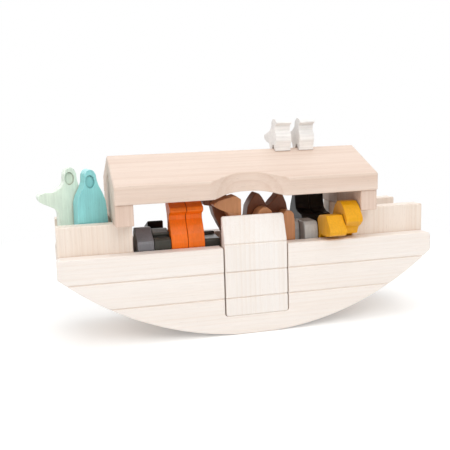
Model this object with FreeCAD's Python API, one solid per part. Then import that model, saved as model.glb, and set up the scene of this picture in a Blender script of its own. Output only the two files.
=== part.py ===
import FreeCAD, Part
import math
import os
from FreeCAD import Vector

# Wooden ark with a rocker hull, a gabled roof, a loose ramp and loose figures.
# X runs along the hull, Y from the ramp side to the far side, Z up; millimetres.

# Hull
hull_length = 360.0
hull_width = 105.4
board = 15.7
rocker_radius = 276.3
flat_length = 36.0
rail_height = 83.2
groove_heights = (35.2, 59.8)
groove_width = 2.2
groove_depth = 1.3
corner_radius = 4.0

# Ramp and the slot it stands in
slot_left = -31.0
slot_right = 31.4
slot_bottom = 18.2
ramp_left = -29.8
ramp_right = 30.5
ramp_thickness = 12.6
ramp_top = 111.0
ramp_tip_thickness = 3.2
ramp_groove_height = 85.8

# End walls, decks and cabin floor
wall_end = 178.8
wall_top = 109.7
cabin_left = -111.3
cabin_right = 103.6
floor_top = 40.0
deck_top = 82.4
keel_gap = 4.0

# Cabin and roof
roof_left = -127.7
roof_right = 120.4
gable_depth = 55.6
ridge_height = 169.1
eave_depth = 58.0
eave_height = 145.4
fascia_height = 17.4
scoop_centre = -5.0
scoop_half = 38.0
scoop_depth = 13.2

half_width = hull_width / 2
inner_y = half_width - board
wall_inner_y = inner_y - board
flat_half = flat_length / 2
arc_drop = rocker_radius - math.sqrt(rocker_radius ** 2 - flat_half ** 2)
slope = (ridge_height - eave_height) / eave_depth


def arc_height(x):
    """Height of the rocker curve above the ground at x."""
    if abs(x) <= flat_half:
        return 0.0
    return rocker_radius - arc_drop - math.sqrt(rocker_radius ** 2 - x ** 2)


def arc_edge(x0, x1, y, lift):
    """Edge along the rocker curve, raised by lift."""
    xm = (x0 + x1) / 2
    points = [Vector(x, y, arc_height(x) + lift) for x in (x0, xm, x1)]
    return Part.Arc(*points).toShape()


def line(a, b):
    return Part.makeLine(a, b)


def rounded_wire(points, radius):
    """Closed wire through 3-D points in one plane, each corner rounded as far as it fits."""
    count = len(points)
    starts = []
    arcs = []
    for i in range(count):
        before, at, after = points[i - 1], points[i], points[(i + 1) % count]
        back = before - at
        ahead = after - at
        turn = math.pi - back.getAngle(ahead)
        room = 0.44 * min(back.Length, ahead.Length)
        if turn < 0.06:
            starts.append((at, at))
            arcs.append(None)
            continue
        step = min(radius * math.tan(turn / 2), room)
        fitted = step / math.tan(turn / 2)
        u = Vector(back).normalize()
        w = Vector(ahead).normalize()
        enter = at + u * step
        leave = at + w * step
        inward = Vector(u + w).normalize()
        centre = at + inward * math.hypot(step, fitted)
        middle = centre - inward * fitted
        starts.append((enter, leave))
        arcs.append(Part.Arc(enter, middle, leave).toShape())
    edges = []
    for i in range(count):
        if arcs[i]:
            edges.append(arcs[i])
        here = starts[i][1]
        there = starts[(i + 1) % count][0]
        if here.distanceToPoint(there) > 1e-4:
            edges.append(line(here, there))
    return Part.Wire(edges)


def side_block(points, x0, x1, radius=1.6):
    """Profile given as (y, z) seen from the side, thick from x0 to x1."""
    wire = rounded_wire([Vector(x0, y, z) for y, z in points], radius)
    return Part.Face(wire).extrude(Vector(x1 - x0, 0, 0))


def front_block(points, y0, y1, radius=1.6):
    """Profile given as (x, z) seen from the front, thick from y0 to y1."""
    wire = rounded_wire([Vector(x, y0, z) for x, z in points], radius)
    return Part.Face(wire).extrude(Vector(0, y1 - y0, 0))


def box(x0, x1, y0, y1, z0, z1):
    return Part.makeBox(x1 - x0, y1 - y0, z1 - z0, Vector(x0, y0, z0))


def edges_where(shape, test):
    return [e for e in shape.Edges if test(e)]


def on_plane(edge, axis, value):
    """True when the whole edge lies in the plane axis = value."""
    first = edge.FirstParameter
    last = edge.LastParameter
    spots = [edge.valueAt(first + (last - first) * k / 4) for k in range(5)]
    return all(abs(getattr(p, axis) - value) < 1e-4 for p in spots)


def v_groove(x0, x1, z, face_y, depth_sign):
    """Prism that cuts one V groove along X into the face at face_y."""
    half = groove_width / 2
    tip = face_y + depth_sign * groove_depth
    out = face_y - depth_sign * 0.4
    points = [Vector(x0, out, z - half * 1.3), Vector(x0, out, z + half * 1.3),
              Vector(x0, tip, z)]
    face = Part.Face(Part.makePolygon(points + points[:1]))
    return face.extrude(Vector(x1 - x0, 0, 0))


def hull_outline(y):
    """Rocker outline of a hull side board in the plane at y."""
    end = hull_length / 2
    low = arc_height(end)
    r = corner_radius
    c = r * (1 - math.sqrt(0.5))
    top = rail_height
    edges = [
        line(Vector(-flat_half, y, 0), Vector(flat_half, y, 0)),
        arc_edge(flat_half, end, y, 0.0),
        line(Vector(end, y, low), Vector(end, y, top - r)),
        Part.Arc(Vector(end, y, top - r), Vector(end - c, y, top - c),
                 Vector(end - r, y, top)).toShape(),
        line(Vector(end - r, y, top), Vector(-end + r, y, top)),
        Part.Arc(Vector(-end + r, y, top), Vector(-end + c, y, top - c),
                 Vector(-end, y, top - r)).toShape(),
        line(Vector(-end, y, top - r), Vector(-end, y, low)),
        arc_edge(-end, -flat_half, y, 0.0),
    ]
    return Part.Wire(edges)


def hull_side(outer_y):
    """One hull side board with eased rail and ends and two plank grooves outside."""
    sign = 1 if outer_y > 0 else -1
    start = outer_y - board if sign > 0 else outer_y
    solid = Part.Face(hull_outline(start)).extrude(Vector(0, board, 0))
    faces = (start, start + board)
    rim = edges_where(solid, lambda e: any(on_plane(e, "y", f) for f in faces)
                      and e.BoundBox.ZMax > rail_height - corner_radius - 0.1)
    solid = solid.makeChamfer(1.0, rim)
    for z in groove_heights:
        solid = solid.cut(v_groove(-200, 200, z, outer_y, -sign))
    return solid


def slot_tool():
    """U slot through the front board, open at the rail."""
    points = [(slot_left, slot_bottom), (slot_right, slot_bottom),
              (slot_right, rail_height + 20), (slot_left, rail_height + 20)]
    return front_block(points, -half_width - 5, -inner_y + 5, 2.8)


def ramp():
    """Ramp plate: wedge above the rail, rounded corners, three grooves outside."""
    front = -half_width
    back = front + ramp_thickness
    tip = back - ramp_tip_thickness
    side = [(back, slot_bottom), (back, ramp_top), (tip, ramp_top),
            (front, ramp_groove_height), (front, slot_bottom)]
    plate = side_block(side, ramp_left, ramp_right, 1.0)
    outline = [(ramp_left, slot_bottom), (ramp_right, slot_bottom),
               (ramp_right, ramp_top), (ramp_left, ramp_top)]
    plate = plate.common(front_block(outline, front - 1, back + 1, 2.0))
    for z in groove_heights + (ramp_groove_height,):
        plate = plate.cut(v_groove(-60, 60, z, front, 1))
    return plate


def end_wall(x0, x1, y0):
    """Upright end wall board; its foot follows the rocker above the ground."""
    low0 = arc_height(x0) + keel_gap
    low1 = arc_height(x1) + keel_gap
    wire = Part.Wire([
        arc_edge(x0, x1, y0, keel_gap),
        line(Vector(x1, y0, low1), Vector(x1, y0, wall_top)),
        line(Vector(x1, y0, wall_top), Vector(x0, y0, wall_top)),
        line(Vector(x0, y0, wall_top), Vector(x0, y0, low0)),
    ])
    solid = Part.Face(wire).extrude(Vector(0, board, 0))
    top = edges_where(solid, lambda e: on_plane(e, "z", wall_top))
    return solid.makeFillet(1.0, top)


def roof_top(y):
    return ridge_height - slope * abs(y)


def roof_under(y):
    return roof_top(y) - fascia_height


def gable(x0, x1, sign):
    """Half gable board from the centre seam out to the eave, rounded at the post corners."""
    peak = 6.0
    points = [(0.12 * sign, wall_top), (gable_depth * sign, wall_top),
              (gable_depth * sign, roof_under(gable_depth)), (peak * sign, roof_under(peak)),
              (0.12 * sign, roof_under(peak) - 7.0)]
    wire = Part.makePolygon([Vector(x0, y, z) for y, z in points + points[:1]])
    solid = Part.Face(wire).extrude(Vector(x1 - x0, 0, 0))
    outer = gable_depth * sign
    upright = edges_where(solid, lambda e: on_plane(e, "y", outer)
                          and e.BoundBox.ZLength > 5)
    solid = solid.makeFillet(1.2, upright)
    seam = edges_where(solid, lambda e: on_plane(e, "y", 0.12 * sign)
                       and e.BoundBox.ZLength > 5)
    return solid.makeChamfer(0.9, seam)


def scoop_tool():
    """Upright cutter for the eyebrow scoop in the front eave."""
    shares = ((1.0, 0.0), (0.84, 0.17), (0.63, 0.55), (0.37, 0.88), (0.0, 1.0))
    left = [Vector(scoop_centre - scoop_half * a, -eave_depth + scoop_depth * b, 100)
            for a, b in shares]
    right = [Vector(2 * scoop_centre - p.x, p.y, 100) for p in reversed(left[:-1])]
    curve = Part.BSplineCurve()
    curve.interpolate(left + right)
    first, last = left[0], right[-1]
    out = Vector(0, -10, 0)
    wire = Part.Wire([curve.toShape(), line(last, last + out),
                      line(last + out, first + out), line(first + out, first)])
    return Part.Face(wire).extrude(Vector(0, 0, 80))


def roof_board(sign):
    """Roof board with plumb cuts at ridge and eave, rounded eave and eased ends."""
    y0 = 0.1 * sign
    y1 = eave_depth * sign
    points = [(y0, roof_top(y0)), (y1, eave_height),
              (y1, eave_height - fascia_height), (y0, roof_under(y0))]
    wire = Part.makePolygon([Vector(roof_left, y, z) for y, z in points + points[:1]])
    solid = Part.Face(wire).extrude(Vector(roof_right - roof_left, 0, 0))
    along = edges_where(solid, lambda e: on_plane(e, "y", y1) and e.BoundBox.XLength > 5)
    solid = solid.makeFillet(1.6, along)
    ends = (roof_left, roof_right)
    rim = edges_where(solid, lambda e: any(on_plane(e, "x", x) for x in ends)
                      and not on_plane(e, "y", y0))
    return solid.makeChamfer(1.0, rim)


# Dove seen from the side, beak towards the ramp side; feet straddle the ridge.
def dove(x0, x1):
    points = [
        (-12.6, 193.6), (-8.2, 197.2), (-1.5, 198.4), (3.6, 195.2), (5.6, 189.6),
        (12.5, 185.6), (21.0, 183.4), (29.2, 181.6), (28.4, 177.6), (22.0, 175.0),
        (13.0, 173.2), (9.4, roof_top(9.4)), (3.2, roof_top(3.2)), (2.0, 172.0),
        (-2.0, 172.0), (-3.2, roof_top(3.2)), (-7.4, roof_top(7.4)), (-8.0, 170.2),
        (-10.4, 176.6), (-10.2, 181.6), (-6.8, 186.2), (-7.4, 191.2),
    ]
    return side_block(points, x0, x1, 0.7)


# Big cat seen from the side, head out over the rail.
def cat(x0, x1):
    points = [
        (-36.5, floor_top), (-24.0, floor_top), (-21.5, 53.0), (-16.5, 53.0),
        (-14.5, floor_top), (-6.5, floor_top), (-6.5, 76.0), (-15.0, 86.0),
        (-25.5, 92.0), (-27.5, 105.0), (-33.0, 114.5), (-39.0, 118.6), (-46.5, 118.6),
        (-52.0, 115.4), (-56.5, 110.5), (-61.6, 104.2), (-61.6, 100.6), (-57.0, 96.6),
        (-52.0, 93.6), (-50.4, 90.8), (-49.0, 87.4), (-44.0, 86.2), (-39.0, 87.0),
        (-36.5, 83.4),
    ]
    return side_block(points, x0, x1, 1.8)


# Resting cat: flat crown, muzzle low over the rail.
def low_cat(x0, x1):
    points = [
        (-36.5, floor_top), (-24.0, floor_top), (-21.5, 51.0), (-16.5, 51.0),
        (-14.5, floor_top), (-6.5, floor_top), (-6.5, 74.0), (-15.0, 84.0),
        (-28.0, 90.0), (-31.5, 96.0), (-30.0, 101.0), (-35.0, 105.0),
        (-44.0, 106.6), (-52.6, 106.6), (-57.0, 101.4), (-61.6, 95.8),
        (-63.6, 92.0), (-62.6, 89.2), (-58.6, 87.2), (-56.4, 89.4), (-53.6, 86.6),
        (-45.0, 86.0), (-38.2, 86.8), (-36.5, 83.4),
    ]
    return side_block(points, x0, x1, 1.6)


# Long-necked animal seen from the side; the neck leans back from the chest.
def long_neck(x0, x1):
    points = [
        (-36.5, floor_top), (-25.0, floor_top), (-22.5, 60.0), (10.0, 60.0),
        (12.5, floor_top), (23.0, floor_top), (24.5, 62.0), (23.0, 79.0),
        (6.0, 83.5), (-8.0, 87.5), (-15.5, 96.0), (-16.5, 106.0), (-13.5, 114.0),
        (-8.5, 121.0), (-9.5, 126.5), (-14.5, 128.5), (-24.0, 124.6), (-33.4, 120.6),
        (-34.2, 116.6), (-26.6, 113.0), (-26.6, 108.8), (-30.4, 103.0), (-34.4, 96.0),
        (-36.4, 88.0),
    ]
    return side_block(points, x0, x1, 1.6)


# Grey pair beside the ramp: blunt heads and flat level backs.
def blunt(x0, x1, front):
    points = [
        (front, floor_top), (front + 9, floor_top), (front + 10.5, 50.0),
        (front + 17.5, 50.0), (front + 19, floor_top), (front + 28, floor_top),
        (front + 28, 98.6), (front + 5, 98.6), (front + 1.2, 95.4), (front, 90.0),
    ]
    return side_block(points, x0, x1, 3.2)


# Black pair behind: tall head at the back, chest ledge in front.
def ledge_back(x0, x1):
    points = [
        (-5.0, floor_top), (6.0, floor_top), (8.0, 54.0), (18.0, 54.0), (20.0, floor_top),
        (31.0, floor_top), (33.0, 70.0), (34.0, 99.0), (30.5, 108.0), (25.5, 117.0),
        (23.5, 123.0), (18.5, 124.0), (15.6, 119.0), (14.8, 111.0), (12.8, 105.4),
        (7.0, 102.4), (-3.0, 101.0), (-5.0, 98.4),
    ]
    return side_block(points, x0, x1, 2.0)


# Sloping grey animal next to the left end wall, crown rising away from the rail.
def sloping(x0, x1):
    points = [
        (-36.0, floor_top), (-27.0, floor_top), (-25.0, 50.0), (-15.0, 50.0),
        (-13.0, floor_top), (-4.0, floor_top), (-4.0, 96.0), (-9.0, 101.2),
        (-15.0, 101.6), (-35.2, 91.6), (-36.0, 89.6),
    ]
    return side_block(points, x0, x1, 1.6)


# Near-black animal with a deep brow recess above a round snout.
def snouted(x0, x1):
    points = [
        (-36.0, floor_top), (-26.0, floor_top), (-24.0, 50.0), (-15.0, 50.0),
        (-13.0, floor_top), (-4.0, floor_top), (-4.0, 95.0), (-9.0, 99.0),
        (-14.0, 99.2), (-26.4, 97.4), (-26.6, 95.6), (-24.6, 92.8), (-32.5, 93.6),
        (-35.8, 91.4), (-36.6, 87.0), (-36.2, 80.0),
    ]
    return side_block(points, x0, x1, 1.4)


# Black block-shaped animal at the back, falling slightly towards the far side.
def back_block(x0, x1):
    points = [
        (8.0, floor_top), (16.0, floor_top), (18.0, 50.0), (26.0, 50.0), (28.0, floor_top),
        (36.0, floor_top), (36.0, 90.0), (33.0, 95.6), (10.0, 103.2), (8.0, 102.6),
    ]
    return side_block(points, x0, x1, 1.0)


# Low dark animal beside the ramp, flat back with a raised rump.
def low_back(x0, x1):
    points = [
        (-31.0, floor_top), (-22.0, floor_top), (-20.0, 50.0), (2.0, 50.0),
        (4.0, floor_top), (13.0, floor_top), (14.0, 84.0), (6.0, 90.6), (-4.6, 91.8),
        (-6.4, 89.0), (-29.4, 89.0), (-31.0, 87.4),
    ]
    return side_block(points, x0, x1, 1.4)


# Front camel, seen from the ramp side and facing left.
def front_camel(y0, y1):
    points = [
        (-16.0, floor_top), (-6.0, floor_top), (-4.0, 66.0), (30.0, 66.0), (32.5, floor_top),
        (43.0, floor_top), (44.6, 70.0), (44.6, 97.0), (43.6, 108.0), (41.0, 111.0),
        (35.4, 111.6), (30.8, 106.0), (26.6, 101.0), (23.4, 107.0), (21.0, 112.6),
        (16.8, 116.0), (12.4, 115.8), (8.8, 113.0), (5.4, 107.0), (-2.4, 99.0),
        (-6.8, 101.0), (-8.6, 110.0), (-8.4, 125.0), (-14.0, 129.0), (-24.0, 126.6),
        (-31.0, 124.6), (-35.2, 121.8), (-34.0, 119.6), (-29.4, 116.6), (-22.0, 113.0),
        (-18.6, 106.0), (-18.0, 90.0), (-17.6, 70.0),
    ]
    return front_block(points, y0, y1, 1.6)


# Taller rear camel with two blunt humps.
def rear_camel(y0, y1):
    points = [
        (-17.0, floor_top), (-7.0, floor_top), (-5.0, 66.0), (24.0, 66.0), (26.5, floor_top),
        (36.0, floor_top), (38.0, 70.0), (38.0, 99.5), (42.8, 105.5), (42.6, 110.0),
        (41.3, 117.0), (38.0, 125.0), (35.6, 127.6), (33.2, 126.6), (31.2, 123.6),
        (28.0, 120.4), (24.4, 116.4), (21.4, 115.6), (18.4, 121.2), (16.5, 124.4),
        (14.0, 127.4), (11.0, 128.4), (8.5, 125.6), (5.3, 121.3), (2.1, 115.5),
        (0.8, 106.0), (-5.0, 99.0), (-11.0, 103.0), (-14.6, 113.0), (-17.0, 124.0), (-19.4, 131.0),
        (-24.0, 133.2), (-36.4, 126.4), (-41.4, 122.6), (-41.0, 119.6), (-33.2, 118.2),
        (-31.0, 109.0), (-26.6, 99.6), (-22.0, 91.0), (-18.6, 80.0),
    ]
    return front_block(points, y0, y1, 1.6)


def hooded_person(points, face_x, face_z, x, y, turn):
    """Hooded figure 16 thick, turned about its own upright, with an oval face recess."""
    solid = front_block(points, -8.0, 8.0, 5.0)
    recess = Part.Ellipse(Vector(0, 0, 0), 6.0, 4.2).toShape()
    oval = Part.Face(Part.Wire([recess])).extrude(Vector(0, 0, 4))
    oval.rotate(Vector(0, 0, 0), Vector(0, 0, 1), 90)
    oval.rotate(Vector(0, 0, 0), Vector(1, 0, 0), 90)
    oval.translate(Vector(face_x, -5.4, face_z))
    solid = solid.cut(oval)
    solid.rotate(Vector(0, 0, 0), Vector(0, 0, 1), turn)
    solid.translate(Vector(x, y, 0))
    return solid


def reaching_person():
    points = [
        (-11.6, deck_top), (13.6, deck_top), (13.4, 118.0), (10.8, 132.0), (7.4, 141.0),
        (5.6, 148.0), (5.2, 154.0), (3.2, 158.8), (-0.2, 160.3), (-3.8, 158.8),
        (-5.6, 153.6), (-6.4, 146.4), (-8.2, 142.8), (-16.0, 138.0), (-24.8, 137.8),
        (-29.4, 136.4), (-30.6, 133.0), (-29.2, 129.4), (-21.8, 125.8), (-15.0, 122.2),
        (-12.8, 118.0), (-12.8, 100.0),
    ]
    return hooded_person(points, -1.2, 149.9, -162.75, 4.2, 8.0)


def robed_person():
    points = [
        (-13.8, deck_top), (14.4, deck_top), (14.1, 110.6), (13.7, 120.0), (12.9, 129.3),
        (10.3, 136.8), (7.1, 143.4), (5.6, 148.5), (5.0, 153.5), (3.0, 157.2),
        (0.0, 158.5), (-3.2, 157.2), (-5.2, 153.5), (-5.7, 146.5), (-7.8, 140.8),
        (-11.7, 134.0), (-13.4, 128.0), (-13.8, 112.0),
    ]
    return hooded_person(points, -0.7, 147.2, -146.2, -10.3, 12.5)


front_board = hull_side(-half_width).cut(slot_tool())
back_board = hull_side(half_width)
floor = box(cabin_left, cabin_right, -inner_y, inner_y, floor_top - board, floor_top)
sill = box(slot_left, slot_right, -half_width + ramp_thickness, -inner_y,
           floor_top - board, floor_top)
floor = floor.fuse(sill).removeSplitter()
gable_left = (roof_left, cabin_left - 0.1)
gable_right = (cabin_right + 0.3, roof_right)

parts = {
    "hull_side_front": front_board,
    "hull_side_back": back_board,
    "cabin_floor": floor,
    "deck_left": box(-wall_end, cabin_left, -wall_inner_y, wall_inner_y,
                     deck_top - board, deck_top),
    "deck_right": box(cabin_right, wall_end, -wall_inner_y, wall_inner_y,
                      deck_top - board, deck_top),
    "bulkhead_left": box(cabin_left - board, cabin_left, -wall_inner_y, wall_inner_y,
                         34.0, deck_top - board),
    "bulkhead_right": box(cabin_right, cabin_right + board, -wall_inner_y, wall_inner_y,
                          34.0, deck_top - board),
    "end_wall_front_left": end_wall(-wall_end, cabin_left, -inner_y),
    "end_wall_front_right": end_wall(cabin_right, wall_end, -inner_y),
    "end_wall_back_left": end_wall(-wall_end, cabin_left, wall_inner_y),
    "end_wall_back_right": end_wall(cabin_right, wall_end, wall_inner_y),
    "gable_left_front": gable(gable_left[0], gable_left[1], -1),
    "gable_left_back": gable(gable_left[0], gable_left[1], 1),
    "gable_right_front": gable(gable_right[0], gable_right[1], -1),
    "gable_right_back": gable(gable_right[0], gable_right[1], 1),
    "roof_front": roof_board(-1).cut(scoop_tool()),
    "roof_back": roof_board(1),
    "ramp": ramp(),
    "person_reaching": reaching_person(),
    "person_robed": robed_person(),
    "dove_left": dove(35.6, 51.2),
    "dove_right": dove(60.0, 75.0),
    "dark_sloping": sloping(-107.2, -91.8),
    "dark_snouted": snouted(-91.6, -76.1),
    "dark_back": back_block(-91.3, -76.1),
    "dark_low": low_back(-43.8, -28.2),
    "orange_left": long_neck(-75.9, -60.2),
    "orange_right": long_neck(-60.0, -44.3),
    "camel_front": front_camel(-36.5, -20.9),
    "camel_rear": rear_camel(-20.6, -5.0),
    "grey_left": blunt(39.8, 55.2, -20.4),
    "grey_right": blunt(55.4, 69.4, -33.6),
    "black_left": ledge_back(63.4, 78.8),
    "black_right": ledge_back(79.0, 94.6),
    "yellow_low": low_cat(69.6, 86.5),
    "yellow_high": cat(86.7, 103.4),
}

# The origin lies under the middle of the box around the whole toy, on the ground.
whole = Part.makeCompound(list(parts.values())).optimalBoundingBox()
centre = Vector((whole.XMin + whole.XMax) / 2, (whole.YMin + whole.YMax) / 2, whole.ZMin)
print("centre", round(centre.x, 3), round(centre.y, 3), round(centre.z, 3))

os.makedirs("parts", exist_ok=True)
for name in sorted(parts):
    parts[name].translate(-centre)
    parts[name].exportStep("parts/" + name + ".step")
    print(name, round(parts[name].Volume / 1000, 1), len(parts[name].Solids),
          parts[name].isValid())
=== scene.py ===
"""Looks of a wooden toy ark: soft-edged boards, painted block figures, studio light."""

import math

import bmesh
import bpy
from mathutils import Matrix, Vector

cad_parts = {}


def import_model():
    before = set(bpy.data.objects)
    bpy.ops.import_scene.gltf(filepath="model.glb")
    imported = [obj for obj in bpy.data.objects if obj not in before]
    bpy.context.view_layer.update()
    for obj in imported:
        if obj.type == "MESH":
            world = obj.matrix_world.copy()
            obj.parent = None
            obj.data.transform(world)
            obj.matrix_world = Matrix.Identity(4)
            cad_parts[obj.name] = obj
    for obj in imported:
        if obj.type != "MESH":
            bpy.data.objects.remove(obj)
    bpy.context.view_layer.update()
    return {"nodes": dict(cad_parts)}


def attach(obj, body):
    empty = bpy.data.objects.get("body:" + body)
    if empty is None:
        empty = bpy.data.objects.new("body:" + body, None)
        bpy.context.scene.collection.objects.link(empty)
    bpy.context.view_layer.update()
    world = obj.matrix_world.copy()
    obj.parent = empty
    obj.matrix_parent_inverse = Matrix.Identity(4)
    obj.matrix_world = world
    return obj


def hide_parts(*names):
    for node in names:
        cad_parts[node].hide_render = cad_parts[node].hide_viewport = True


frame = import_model()
MM = 0.001

# Camera of the photograph, in the frame of the parts
CAMERA_PLACE = Vector((-0.172421, -0.651784, 0.208699))
CAMERA_YAW = -0.245
CAMERA_PITCH = 0.166
CAMERA_ROLL = -0.030
SENSOR = 36.0
LENS = 55.33

# Rounding of outward edges: its width, the edges that get it, and the shading over it
BOARD_BEVEL = 0.8 * MM
FIGURE_BEVEL = 0.9 * MM
SMALL_BEVELS = {"dove": 0.45 * MM, "person": 0.27 * MM}
BEVEL_STEPS = 3
CORNER_ANGLE = math.radians(58.0)
SMOOTH_ANGLE = math.radians(34.0)

# Cleaning of the meshes: points this close are one, faces this level with each other are joined
SAME_POINT = 2e-6
LEVEL_ANGLE = math.radians(0.4)

# Boards whose tight curves have edges too short to round, and the length that is joined
SHORT_EDGED = ("ramp", "roof_front")
SHORT_EDGE = 0.35 * MM

# Upright line just beside the middle of each person's face recess, and the person's turn
RECESSES = {
    "person_reaching": (Vector((-0.156828, 0.006785, 0.0)), math.radians(8.0)),
    "person_robed": (Vector((-0.139775, -0.007687, 0.0)), math.radians(12.5)),
}

# Wood tones as linear red, green, blue: pale, then the darker grain
HULL_TONES = ((0.912, 0.848, 0.797), (0.862, 0.766, 0.690))
WALL_TONES = ((0.892, 0.790, 0.700), (0.785, 0.642, 0.532))
ROOF_TONES = ((0.800, 0.652, 0.556), (0.690, 0.512, 0.408))
POST_TONES = ((0.775, 0.610, 0.515), (0.640, 0.455, 0.350))
RAMP_TONES = ((0.905, 0.855, 0.815), (0.845, 0.758, 0.685))
INNER_TONES = ((0.830, 0.670, 0.540), (0.700, 0.510, 0.380))

# Paints as linear red, green, blue
PAINTS = {
    "mint_paint": (0.745, 0.840, 0.710),
    "teal_paint": (0.285, 0.690, 0.700),
    "white_paint": (0.915, 0.885, 0.855),
    "dark_grey_paint": (0.220, 0.218, 0.235),
    "near_black_paint": (0.064, 0.063, 0.052),
    "orange_paint": (0.980, 0.185, 0.002),
    "tan_paint": (0.560, 0.250, 0.110),
    "brown_paint": (0.220, 0.072, 0.028),
    "grey_paint": (0.540, 0.535, 0.520),
    "black_paint": (0.008, 0.006, 0.005),
    "yellow_paint": (0.830, 0.385, 0.002),
}
WHITE = (1.0, 1.0, 1.0)

# Scale at which the wave texture gives rings one metre apart
RING_UNIT = 0.31416

# Scales along and across the grain, per metre
WOOD_BROAD = (3.0, 60.0, 60.0)
WOOD_UNEVEN = (2.0, 90.0, 90.0)
WOOD_LINES = (9.0, 520.0, 520.0)
WOOD_FIBRES = (60.0, 2400.0, 2400.0)
WOOD_FLECKS = (190.0, 1700.0, 1700.0)
RING_DRAWN_OUT = (0.07, 1.0, 1.0)
RING_WAVINESS = 0.14
PAINT_CLOUD = (38.0, 60.0, 60.0)
PAINT_GRAIN = (34.0, 700.0, 700.0)
PAINT_PORES = (240.0, 1900.0, 1900.0)
PAINT_PEEL = (900.0, 900.0, 900.0)

# How much of the darker tone each part of the wood's grain brings
BROAD_SHARE = 0.34
LINE_SHARE = 0.30
FLECK_SHARE = 0.30
FLECK_TONE = 0.74

# Pores of the painted wood, and the painted highlight on its sharp edges: how much, and how far
# towards a light grey
PORE_SHARE = 0.22
PORE_TONE = 0.55
EDGE_HIGHLIGHT_SHARE = 0.40
EDGE_HIGHLIGHT_LIFT = 0.16
EDGE_HIGHLIGHT_GREY = 0.80

# Painted shade in creases, joints and recesses: how far it reaches, and what it multiplies the
# colour by
WOOD_CREASE_SHADE = (1.6 * MM, (0.86, 0.77, 0.70))
PAINT_CREASE_SHADE = (2.5 * MM, (0.42, 0.36, 0.32))
SHEEN = 0.36
RELIEF_DEPTH = 0.10 * MM
WOOD_RELIEF = 0.20
PAINT_RELIEF = 0.16

# Floor as the camera sees it: lifted to white near the toy, plain white far away
FLOOR_HALF_SIZE = 6.0
FLOOR_DROP = 0.2 * MM
FLOOR_COLOUR = (0.93, 0.925, 0.915, 1.0)
FLOOR_LIFT = 0.24
FLOOR_NEAR = 0.30
FLOOR_FAR = 0.60

# Surroundings: strength as light, and as mirrored in front of and behind the toy
WORLD_COLOUR = (0.97, 0.985, 1.0, 1.0)
WORLD_LIGHT = 0.60
MIRROR_FRONT = 0.06
MIRROR_BEHIND = 2.00

# Lamps: name, place, aim, width and height, watts, colour
LAMPS = (
    ("key", (0.2, -1.5, 1.25), (0.0, 0.0, 0.08), (1.1, 1.1), 10.5, (1.0, 0.985, 0.965)),
    ("left", (-1.4, -0.7, 0.9), (0.0, 0.0, 0.10), (1.0, 1.0), 4.0, (1.0, 0.995, 0.985)),
    ("top", (0.0, -0.1, 1.7), (0.0, 0.0, 0.0), (1.6, 1.6), 9.2, WHITE),
)

# Places of the colour sockets on the mix node, which share their names with others
MIX_COLOUR_INPUTS = (6, 7)
MIX_COLOUR_OUTPUT = 2

# Turns that bring each direction of the grain onto X
ALONG_X = (0.0, 0.0, 0.0)
ALONG_Z = (0.0, math.radians(90.0), 0.0)
ALONG_Y = (0.0, 0.0, math.radians(90.0))


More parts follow.
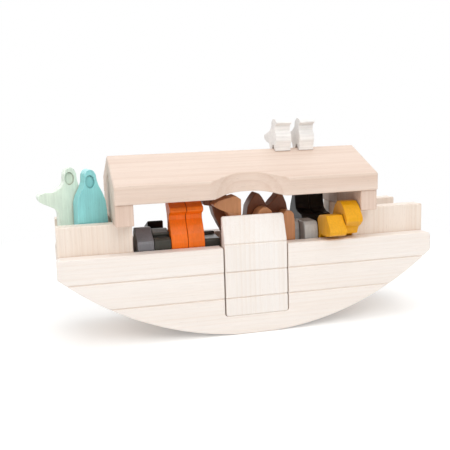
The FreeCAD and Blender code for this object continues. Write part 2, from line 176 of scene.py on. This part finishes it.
class Graph:
    """Small helper around one material's nodes."""

    def __init__(self, name):
        self.material = bpy.data.materials.new(name)
        self.material.use_nodes = True
        self.tree = self.material.node_tree
        self.shader = self.tree.nodes["Principled BSDF"]

    def node(self, kind, **values):
        made = self.tree.nodes.new(kind)
        for key, value in values.items():
            setattr(made, key, value)
        return made

    def link(self, out, into):
        self.tree.links.new(out, into)

    def place(self, turn, scale, shift=(0.0, 0.0, 0.0)):
        """Object coordinates turned so that X runs along the grain, then scaled."""
        coordinates = self.node("ShaderNodeTexCoord")
        first = self.node("ShaderNodeMapping")
        first.inputs["Rotation"].default_value = turn
        first.inputs["Location"].default_value = shift
        second = self.node("ShaderNodeMapping")
        second.inputs["Scale"].default_value = scale
        self.link(coordinates.outputs["Object"], first.inputs["Vector"])
        self.link(first.outputs["Vector"], second.inputs["Vector"])
        return second.outputs["Vector"]

    def noise(self, vector, detail, roughness=0.5, distortion=0.0):
        made = self.node("ShaderNodeTexNoise")
        made.inputs["Scale"].default_value = 1.0
        made.inputs["Detail"].default_value = detail
        made.inputs["Roughness"].default_value = roughness
        made.inputs["Distortion"].default_value = distortion
        self.link(vector, made.inputs["Vector"])
        return made.outputs["Fac"]

    def spread(self, value, low, high, to_low=0.0, to_high=1.0):
        made = self.node("ShaderNodeMapRange")
        made.inputs["From Min"].default_value = low
        made.inputs["From Max"].default_value = high
        made.inputs["To Min"].default_value = to_low
        made.inputs["To Max"].default_value = to_high
        self.link(value, made.inputs["Value"])
        return made.outputs["Result"]

    def math(self, operation, a, b):
        made = self.node("ShaderNodeMath", operation=operation)
        for index, value in enumerate((a, b)):
            if isinstance(value, (int, float)):
                made.inputs[index].default_value = value
            else:
                self.link(value, made.inputs[index])
        return made.outputs["Value"]

    def mix(self, factor, a, b, blend="MIX"):
        made = self.node("ShaderNodeMix", data_type="RGBA", blend_type=blend)
        if isinstance(factor, (int, float)):
            made.inputs["Factor"].default_value = factor
        else:
            self.link(factor, made.inputs["Factor"])
        for index, value in zip(MIX_COLOUR_INPUTS, (a, b)):
            if isinstance(value, tuple):
                made.inputs[index].default_value = (*value, 1.0)
            else:
                self.link(value, made.inputs[index])
        return made.outputs[MIX_COLOUR_OUTPUT]

    def rings(self, vector, spacing, wobble):
        """Growth rings round the X axis of the vector, 0 to 1 across each ring."""
        made = self.node("ShaderNodeTexWave", wave_type="RINGS", rings_direction="X",
                         wave_profile="SAW")
        made.inputs["Scale"].default_value = RING_UNIT / spacing
        made.inputs["Distortion"].default_value = wobble
        made.inputs["Detail"].default_value = 2.0
        made.inputs["Detail Scale"].default_value = RING_WAVINESS
        self.link(vector, made.inputs["Vector"])
        return made.outputs["Fac"]

    def painted_crease_shade(self, colour, reach, tint):
        """Painted shade: the colour multiplied by the tint where other faces stand close."""
        made = self.node("ShaderNodeAmbientOcclusion", samples=8)
        made.inputs["Distance"].default_value = reach
        closed = self.spread(made.outputs["AO"], 0.15, 0.85, 1.0, 0.0)
        return self.mix(closed, colour, self.mix(1.0, colour, tint, "MULTIPLY"))

    def bump(self, height, strength, distance):
        made = self.node("ShaderNodeBump")
        made.inputs["Strength"].default_value = strength
        made.inputs["Distance"].default_value = distance
        self.link(height, made.inputs["Height"])
        self.link(made.outputs["Normal"], self.shader.inputs["Normal"])


def wood(name, tones, turn, pith, ring, wobble):
    """Sanded beech: growth rings round the pith line, broad bands, fibres and short flecks."""
    graph = Graph(name)
    pale, dark = tones
    rings = graph.rings(graph.place(turn, RING_DRAWN_OUT, pith), ring, wobble)
    late = graph.math("POWER", rings, 2.4)
    fall = graph.spread(rings, 0.88, 1.0, 1.0, 0.0)
    late = graph.math("MULTIPLY", late, fall)
    broad = graph.noise(graph.place(turn, WOOD_BROAD, pith), detail=2.0)
    broad = graph.spread(broad, 0.36, 0.68)
    uneven = graph.noise(graph.place(turn, WOOD_UNEVEN, pith), detail=2.0)
    uneven = graph.spread(uneven, 0.35, 0.65, 0.10, 0.62)
    lines = graph.noise(graph.place(turn, WOOD_LINES, pith), detail=4.0, roughness=0.62,
                        distortion=0.3)
    lines = graph.spread(lines, 0.42, 0.70)
    fibres = graph.noise(graph.place(turn, WOOD_FIBRES, pith), detail=3.0)
    flecks = graph.noise(graph.place(turn, WOOD_FLECKS, pith), detail=1.0)
    flecks = graph.spread(flecks, 0.66, 0.75)
    grain = graph.math("ADD", graph.math("MULTIPLY", broad, BROAD_SHARE),
                       graph.math("MULTIPLY", late, uneven))
    grain = graph.math("ADD", grain, graph.math("MULTIPLY", lines, LINE_SHARE))
    colour = graph.mix(grain, pale, dark)
    colour = graph.mix(graph.math("MULTIPLY", flecks, FLECK_SHARE), colour,
                       tuple(c * FLECK_TONE for c in dark))
    shade = graph.spread(fibres, 0.3, 0.7, 0.965, 1.025)
    colour = graph.mix(1.0, colour, shade, "MULTIPLY")
    # Painted shade darkens the wood's colour in creases, joints and recesses
    graph.link(graph.painted_crease_shade(colour, *WOOD_CREASE_SHADE), graph.shader.inputs["Base Color"])
    graph.link(graph.spread(lines, 0.0, 1.0, 0.48, 0.60), graph.shader.inputs["Roughness"])
    relief = graph.math("SUBTRACT", graph.math("MULTIPLY", fibres, 0.4),
                        graph.math("MULTIPLY", flecks, 0.5))
    graph.bump(relief, WOOD_RELIEF, RELIEF_DEPTH)
    graph.shader.inputs["Specular IOR Level"].default_value = SHEEN
    return graph.material


def paint(name, colour, shift, turn=ALONG_Z):
    """Satin paint on sanded wood: soft clouding, faint grain under the film, a painted highlight
    on sharp edges and painted shade in creases.
    """
    graph = Graph(name)
    cloud = graph.noise(graph.place(turn, PAINT_CLOUD, shift), detail=3.0)
    cloud = graph.spread(cloud, 0.32, 0.68, 0.91, 1.06)
    grain = graph.noise(graph.place(turn, PAINT_GRAIN, shift), detail=3.0)
    streak = graph.spread(grain, 0.35, 0.72, 1.03, 0.90)
    pores = graph.noise(graph.place(turn, PAINT_PORES, shift), detail=1.0)
    pores = graph.spread(pores, 0.66, 0.74)
    peel = graph.noise(graph.place(ALONG_X, PAINT_PEEL), detail=1.0)
    base = graph.mix(1.0, colour, cloud, "MULTIPLY")
    base = graph.mix(1.0, base, streak, "MULTIPLY")
    base = graph.mix(graph.math("MULTIPLY", pores, PORE_SHARE), base,
                     tuple(c * PORE_TONE for c in colour))
    geometry = graph.node("ShaderNodeNewGeometry")
    # Painted highlight: sharp convex edges are lightened towards a light grey
    edge = graph.spread(geometry.outputs["Pointiness"], 0.53, 0.60)
    edge_highlight = tuple(c + (EDGE_HIGHLIGHT_GREY - c) * EDGE_HIGHLIGHT_LIFT for c in colour)
    base = graph.mix(graph.math("MULTIPLY", edge, EDGE_HIGHLIGHT_SHARE), base, edge_highlight)
    # Painted shade darkens the paint's colour in creases, joints and recesses
    graph.link(graph.painted_crease_shade(base, *PAINT_CREASE_SHADE), graph.shader.inputs["Base Color"])
    graph.link(graph.spread(grain, 0.3, 0.7, 0.34, 0.42), graph.shader.inputs["Roughness"])
    relief = graph.math("ADD", graph.math("MULTIPLY", grain, 0.7),
                        graph.math("MULTIPLY", peel, 0.3))
    relief = graph.math("SUBTRACT", relief, graph.math("MULTIPLY", pores, 0.3))
    graph.bump(relief, PAINT_RELIEF, RELIEF_DEPTH)
    graph.shader.inputs["Specular IOR Level"].default_value = SHEEN
    return graph.material


def split_at_recess(bm, node):
    """Cuts the figure upright through its face recess, so that no flat face has a hole."""
    spot, turn = RECESSES[node]
    across = Vector((math.cos(turn), math.sin(turn), 0.0))
    everything = list(bm.verts) + list(bm.edges) + list(bm.faces)
    cut = bmesh.ops.bisect_plane(bm, geom=everything, dist=10.0 * SAME_POINT, plane_co=spot,
                                 plane_no=across)
    for element in cut["geom_cut"]:
        if isinstance(element, bmesh.types.BMEdge):
            element.seam = True


def clean_mesh(node, name):
    """New mesh with the node's surface, flat faces joined and no stored normals."""
    bm = bmesh.new()
    bm.from_mesh(frame["nodes"][node].data)
    bmesh.ops.remove_doubles(bm, verts=bm.verts, dist=SAME_POINT)
    if node in RECESSES:
        split_at_recess(bm, node)
    bmesh.ops.dissolve_limit(bm, angle_limit=LEVEL_ANGLE, verts=bm.verts, edges=bm.edges,
                             delimit={"SEAM"})
    if node in SHORT_EDGED:
        bmesh.ops.remove_doubles(bm, verts=bm.verts, dist=SHORT_EDGE)
    bmesh.ops.recalc_face_normals(bm, faces=bm.faces)
    bm.verts.index_update()
    corners = [tuple(v.co) for v in bm.verts]
    faces = [[v.index for v in f.verts] for f in bm.faces]
    bm.free()
    mesh = bpy.data.meshes.new(name)
    mesh.from_pydata(corners, [], faces)
    mesh.update()
    return mesh


def mark_corners(mesh):
    """Marks the outward edges that sanding would round; grooves and inner corners stay as cut."""
    bm = bmesh.new()
    bm.from_mesh(mesh)
    weight = bm.edges.layers.float.new("bevel_weight_edge")
    for edge in bm.edges:
        if edge.calc_face_angle_signed(0.0) > CORNER_ANGLE:
            edge[weight] = 1.0
    bm.to_mesh(mesh)
    bm.free()


def finished(piece):
    """Applies the piece's modifiers, so that the mesh itself has the final shape."""
    depsgraph = bpy.context.evaluated_depsgraph_get()
    mesh = bpy.data.meshes.new_from_object(piece.evaluated_get(depsgraph))
    piece.modifiers.clear()
    piece.data = mesh


def new_piece(node, ending):
    name = node + ending
    piece = bpy.data.objects.new(name, clean_mesh(node, name))
    bpy.context.scene.collection.objects.link(piece)
    return piece


def hand_over(piece, node, material):
    """Gives the piece its material and lets it stand for the node."""
    piece.data.materials.clear()
    piece.data.materials.append(material)
    for polygon in piece.data.polygons:
        polygon.material_index = 0
    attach(piece, "root")
    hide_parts(node)


def eased_piece(node, ending, material, width):
    """Copy of the node's shape with its outward edges rounded and its flat faces even."""
    piece = new_piece(node, ending)
    mark_corners(piece.data)
    bevel = piece.modifiers.new("ease", "BEVEL")
    bevel.width = width
    bevel.segments = BEVEL_STEPS
    bevel.limit_method = "WEIGHT"
    bevel.use_clamp_overlap = False
    finished(piece)
    piece.data.shade_smooth()
    piece.data.set_sharp_from_angle(angle=SMOOTH_ANGLE)
    level = piece.modifiers.new("level", "WEIGHTED_NORMAL")
    level.mode = "FACE_AREA"
    level.keep_sharp = True
    finished(piece)
    hand_over(piece, node, material)


# Node: slot, tones, grain direction, shift that puts the pith on the axis, ring spacing, wobble
BOARDS = {
    "hull_side_front": ("hull_wood", HULL_TONES, ALONG_X, (0.00, 0.060, 0.110), 4.2 * MM, 9.0),
    "hull_side_back": ("hull_wood", HULL_TONES, ALONG_X, (0.31, -0.060, 0.130), 4.4 * MM, 9.0),
    "cabin_floor": ("inner_wood", INNER_TONES, ALONG_X, (0.11, 0.07, 0.02), 4.0 * MM, 5.0),
    "deck_left": ("inner_wood", INNER_TONES, ALONG_X, (0.21, 0.04, 0.03), 4.0 * MM, 5.0),
    "deck_right": ("inner_wood", INNER_TONES, ALONG_X, (0.35, 0.02, 0.01), 4.0 * MM, 5.0),
    "bulkhead_left": ("inner_wood", INNER_TONES, ALONG_Y, (0.42, 0.03, 0.06), 4.0 * MM, 5.0),
    "bulkhead_right": ("inner_wood", INNER_TONES, ALONG_Y, (0.13, 0.06, 0.08), 4.0 * MM, 5.0),
    "end_wall_front_left": ("hull_wood", WALL_TONES, ALONG_Z, (0.05, 0.05, -0.06), 4.6 * MM, 9.0),
    "end_wall_front_right": ("hull_wood", WALL_TONES, ALONG_Z, (0.25, 0.04, 0.06), 5.0 * MM, 9.0),
    "end_wall_back_left": ("hull_wood", WALL_TONES, ALONG_Z, (0.45, -0.04, -0.07), 4.6 * MM, 9.0),
    "end_wall_back_right": ("hull_wood", WALL_TONES, ALONG_Z, (0.65, -0.05, 0.06), 5.0 * MM, 9.0),
    "gable_left_front": ("roof_wood", POST_TONES, ALONG_Z, (0.15, 0.03, -0.06), 3.6 * MM, 8.0),
    "gable_left_back": ("roof_wood", POST_TONES, ALONG_Z, (0.34, 0.01, -0.06), 3.8 * MM, 8.0),
    "gable_right_front": ("roof_wood", POST_TONES, ALONG_Z, (0.55, 0.02, 0.06), 3.6 * MM, 8.0),
    "gable_right_back": ("roof_wood", POST_TONES, ALONG_Z, (0.75, -0.01, 0.06), 3.8 * MM, 8.0),
    "roof_front": ("roof_wood", ROOF_TONES, ALONG_X, (0.08, 0.0271, -0.1296), 5.3 * MM, 1.6),
    "roof_back": ("roof_wood", ROOF_TONES, ALONG_X, (0.61, -0.030, -0.090), 4.6 * MM, 3.0),
    "ramp": ("ramp_wood", RAMP_TONES, ALONG_Z, (0.72, 0.010, -0.170), 4.4 * MM, 9.0),
}
FIGURES = {
    "person_reaching": "mint_paint", "person_robed": "teal_paint",
    "dove_left": "white_paint", "dove_right": "white_paint",
    "dark_sloping": "dark_grey_paint", "dark_snouted": "near_black_paint",
    "dark_back": "black_paint", "dark_low": "near_black_paint",
    "orange_left": "orange_paint", "orange_right": "orange_paint",
    "camel_front": "tan_paint", "camel_rear": "brown_paint",
    "grey_left": "grey_paint", "grey_right": "grey_paint",
    "black_left": "black_paint", "black_right": "black_paint",
    "yellow_low": "yellow_paint", "yellow_high": "yellow_paint",
}


def dress_boards():
    for node, (slot, tones, *grain) in BOARDS.items():
        material = wood(node + "_wood", tones, *grain)
        eased_piece(node, "_board", material, BOARD_BEVEL)


def dress_figures():
    paints = {}
    for index, (slot, colour) in enumerate(PAINTS.items()):
        turn = ALONG_X if slot == "white_paint" else ALONG_Z
        paints[slot] = paint(slot, colour, (0.07 * index, 0.03 * index, 0.05 * index), turn)
    for node, slot in FIGURES.items():
        width = SMALL_BEVELS.get(node.split("_")[0], FIGURE_BEVEL)
        eased_piece(node, "_figure", paints[slot], width)


def floor():
    """Pale floor, white to the camera away from the toy's shadow."""
    bm = bmesh.new()
    bmesh.ops.create_grid(bm, x_segments=2, y_segments=2, size=FLOOR_HALF_SIZE)
    mesh = bpy.data.meshes.new("floor")
    bm.to_mesh(mesh)
    bm.free()
    ground = bpy.data.objects.new("floor", mesh)
    bpy.context.scene.collection.objects.link(ground)
    ground.location.z = -FLOOR_DROP
    graph = Graph("floor_white")
    graph.shader.inputs["Base Color"].default_value = FLOOR_COLOUR
    graph.shader.inputs["Roughness"].default_value = 0.9
    graph.shader.inputs["Specular IOR Level"].default_value = 0.1
    lift = graph.node("ShaderNodeEmission")
    lift.inputs["Strength"].default_value = FLOOR_LIFT
    near = graph.node("ShaderNodeAddShader")
    graph.link(graph.shader.outputs["BSDF"], near.inputs[0])
    graph.link(lift.outputs["Emission"], near.inputs[1])
    white = graph.node("ShaderNodeEmission")
    white.inputs["Strength"].default_value = 1.0
    coordinates = graph.node("ShaderNodeTexCoord")
    distance = graph.node("ShaderNodeVectorMath", operation="LENGTH")
    graph.link(coordinates.outputs["Object"], distance.inputs[0])
    far = graph.node("ShaderNodeMapRange", interpolation_type="SMOOTHSTEP")
    far.inputs["From Min"].default_value = FLOOR_NEAR
    far.inputs["From Max"].default_value = FLOOR_FAR
    graph.link(distance.outputs["Value"], far.inputs["Value"])
    seen = graph.node("ShaderNodeMixShader")
    graph.link(far.outputs["Result"], seen.inputs["Fac"])
    graph.link(near.outputs["Shader"], seen.inputs[1])
    graph.link(white.outputs["Emission"], seen.inputs[2])
    path = graph.node("ShaderNodeLightPath")
    choose = graph.node("ShaderNodeMixShader")
    graph.link(path.outputs["Is Camera Ray"], choose.inputs["Fac"])
    graph.link(graph.shader.outputs["BSDF"], choose.inputs[1])
    graph.link(seen.outputs["Shader"], choose.inputs[2])
    graph.link(choose.outputs["Shader"], graph.tree.nodes["Material Output"].inputs["Surface"])
    mesh.materials.append(graph.material)


def world():
    """White surroundings: even as light, bright behind the toy and dim in front in reflections."""
    surroundings = bpy.data.worlds.new("studio")
    bpy.context.scene.world = surroundings
    surroundings.use_nodes = True
    tree = surroundings.node_tree
    light = tree.nodes["Background"]
    light.inputs["Color"].default_value = WORLD_COLOUR
    light.inputs["Strength"].default_value = WORLD_LIGHT
    seen = tree.nodes.new("ShaderNodeBackground")
    seen.inputs["Strength"].default_value = 1.0
    mirrored = tree.nodes.new("ShaderNodeBackground")
    for shade in (seen, mirrored):
        shade.inputs["Color"].default_value = (*WHITE, 1.0)
    coordinates = tree.nodes.new("ShaderNodeTexCoord")
    split = tree.nodes.new("ShaderNodeSeparateXYZ")
    behind = tree.nodes.new("ShaderNodeMapRange")
    behind.inputs["From Min"].default_value = -0.3
    behind.inputs["From Max"].default_value = 0.5
    behind.inputs["To Min"].default_value = MIRROR_FRONT
    behind.inputs["To Max"].default_value = MIRROR_BEHIND
    tree.links.new(coordinates.outputs["Generated"], split.inputs["Vector"])
    tree.links.new(split.outputs["Y"], behind.inputs["Value"])
    tree.links.new(behind.outputs["Result"], mirrored.inputs["Strength"])
    path = tree.nodes.new("ShaderNodeLightPath")
    gloss = tree.nodes.new("ShaderNodeMixShader")
    choose = tree.nodes.new("ShaderNodeMixShader")
    tree.links.new(path.outputs["Is Glossy Ray"], gloss.inputs["Fac"])
    tree.links.new(light.outputs["Background"], gloss.inputs[1])
    tree.links.new(mirrored.outputs["Background"], gloss.inputs[2])
    tree.links.new(path.outputs["Is Camera Ray"], choose.inputs["Fac"])
    tree.links.new(gloss.outputs["Shader"], choose.inputs[1])
    tree.links.new(seen.outputs["Background"], choose.inputs[2])
    tree.links.new(choose.outputs["Shader"], tree.nodes["World Output"].inputs["Surface"])


def lamp(name, place, aim, size, power, colour):
    data = bpy.data.lights.new(name, "AREA")
    data.shape = "RECTANGLE"
    data.size, data.size_y = size
    data.energy = power
    data.color = colour
    made = bpy.data.objects.new(name, data)
    bpy.context.scene.collection.objects.link(made)
    made.location = place
    made.rotation_euler = (Vector(aim) - Vector(place)).to_track_quat("-Z", "Y").to_euler()


def camera():
    level = Vector((math.cos(CAMERA_YAW), math.sin(CAMERA_YAW), 0.0))
    ahead = Vector((-math.sin(CAMERA_YAW), math.cos(CAMERA_YAW), 0.0))
    look = ahead * math.cos(CAMERA_PITCH) - Vector((0, 0, 1)) * math.sin(CAMERA_PITCH)
    over = level.cross(look)
    right = level * math.cos(CAMERA_ROLL) + over * math.sin(CAMERA_ROLL)
    top = over * math.cos(CAMERA_ROLL) - level * math.sin(CAMERA_ROLL)
    data = bpy.data.cameras.new("camera")
    data.sensor_width = SENSOR
    data.lens = LENS
    data.clip_start = 0.01
    made = bpy.data.objects.new("camera", data)
    bpy.context.scene.collection.objects.link(made)
    turn = Matrix((right, top, -look)).transposed().to_4x4()
    made.matrix_world = Matrix.Translation(CAMERA_PLACE) @ turn
    bpy.context.scene.camera = made


dress_boards()
dress_figures()
floor()
world()
for lamp_values in LAMPS:
    lamp(*lamp_values)
camera()
bpy.context.scene.view_settings.view_transform = "Standard"
